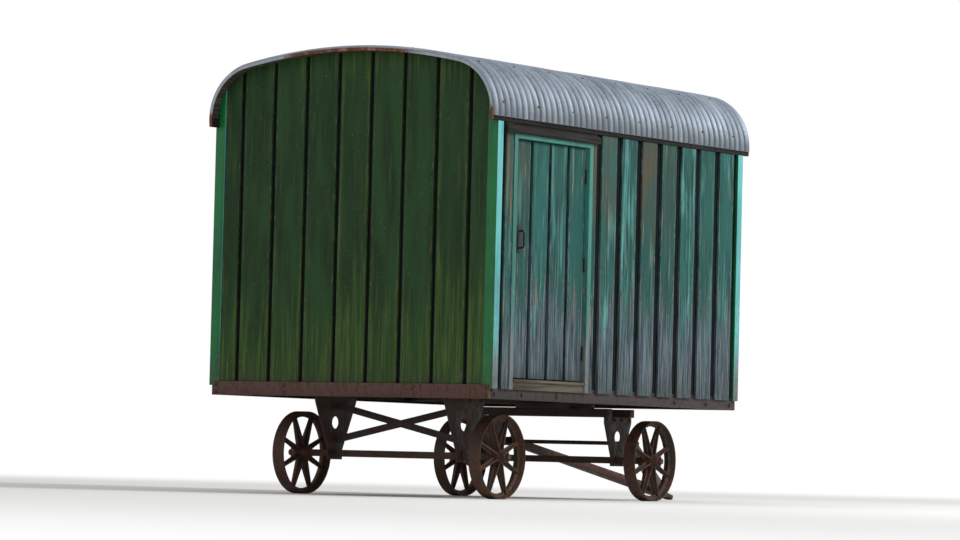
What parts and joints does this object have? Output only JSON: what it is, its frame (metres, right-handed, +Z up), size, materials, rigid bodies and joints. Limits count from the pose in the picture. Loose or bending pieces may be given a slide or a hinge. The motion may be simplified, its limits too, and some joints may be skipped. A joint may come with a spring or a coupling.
{
  "type": "shepherds hut",
  "caption": "Boarded living hut with a curved corrugated roof on a wheeled steel chassis, with a hinged side door and a towing bar.",
  "frame": {"origin": "on the ground, under the middle of the whole length and width, drawbar included", "axes": "+X along the hut towards the drawbar, -Y out of the door side, +Z up"},
  "size_m": [4.5782, 2.4946, 3.1924],
  "materials": {
    "green_boards": "old dark green paint with algae streaks",
    "teal_boards": "blue-green paint worn to grey wood at the foot",
    "painted_trim": "blue-green paint",
    "dark_timber": "dark weathered timber",
    "bare_wood": "unpainted softwood",
    "rusty_steel": "red-brown paint and rust",
    "chassis_steel": "dark painted steel with rust",
    "cast_iron": "rusty cast iron",
    "iron_fittings": "black iron",
    "galvanised_sheet": "weathered galvanised steel"
  },
  "bodies": {
    "root": {"near_end_rail": "rusty_steel", "far_end_rail": "rusty_steel", "front_side_rail": "chassis_steel", "back_side_rail": "chassis_steel", "cross_members": "chassis_steel", "floor": "bare_wood", "near_axle": "cast_iron", "near_axle_stands": "chassis_steel", "far_axle": "cast_iron", "fore_carriage": "chassis_steel", "turntable_ring": "chassis_steel", "wheel_near_front": "cast_iron", "wheel_near_back": "cast_iron", "wheel_far_front": "cast_iron", "wheel_far_back": "cast_iron", "drawbar": "cast_iron", "tow_eye": "cast_iron", "near_end_wall": "bare_wood", "near_end_boards": "green_boards", "far_end_wall": "bare_wood", "far_end_boards": "green_boards", "back_wall": "bare_wood", "back_boards": "teal_boards", "front_wall_near": "bare_wood", "front_wall_far": "bare_wood", "front_wall_head": "bare_wood", "front_boards_near": "teal_boards", "front_boards_far": "teal_boards", "near_corner_trims": "painted_trim", "far_corner_trims": "painted_trim", "door_frame": "painted_trim", "drip_cap": "dark_timber", "door_sill": "bare_wood", "hinge_jamb_halves": "iron_fittings", "roof_bows": "bare_wood", "front_roof_boards": "bare_wood", "crown_roof_boards": "bare_wood", "back_roof_boards": "bare_wood", "roof_sheets": "galvanised_sheet", "roof_edge_trims": "rusty_steel"},
    "door": {"door_leaf": "bare_wood", "door_boards": "teal_boards", "door_bracing": "bare_wood", "door_handle": "iron_fittings", "hinge_door_halves": "iron_fittings"}
  },
  "joints": [
    {"name": "door_hinge", "type": "hinge", "parent": "root", "child": "door", "pos_m": [-1.00455, -1.197, 1.6], "axis": [0, 0, 1], "range_deg": [0, 100]}
  ]
}
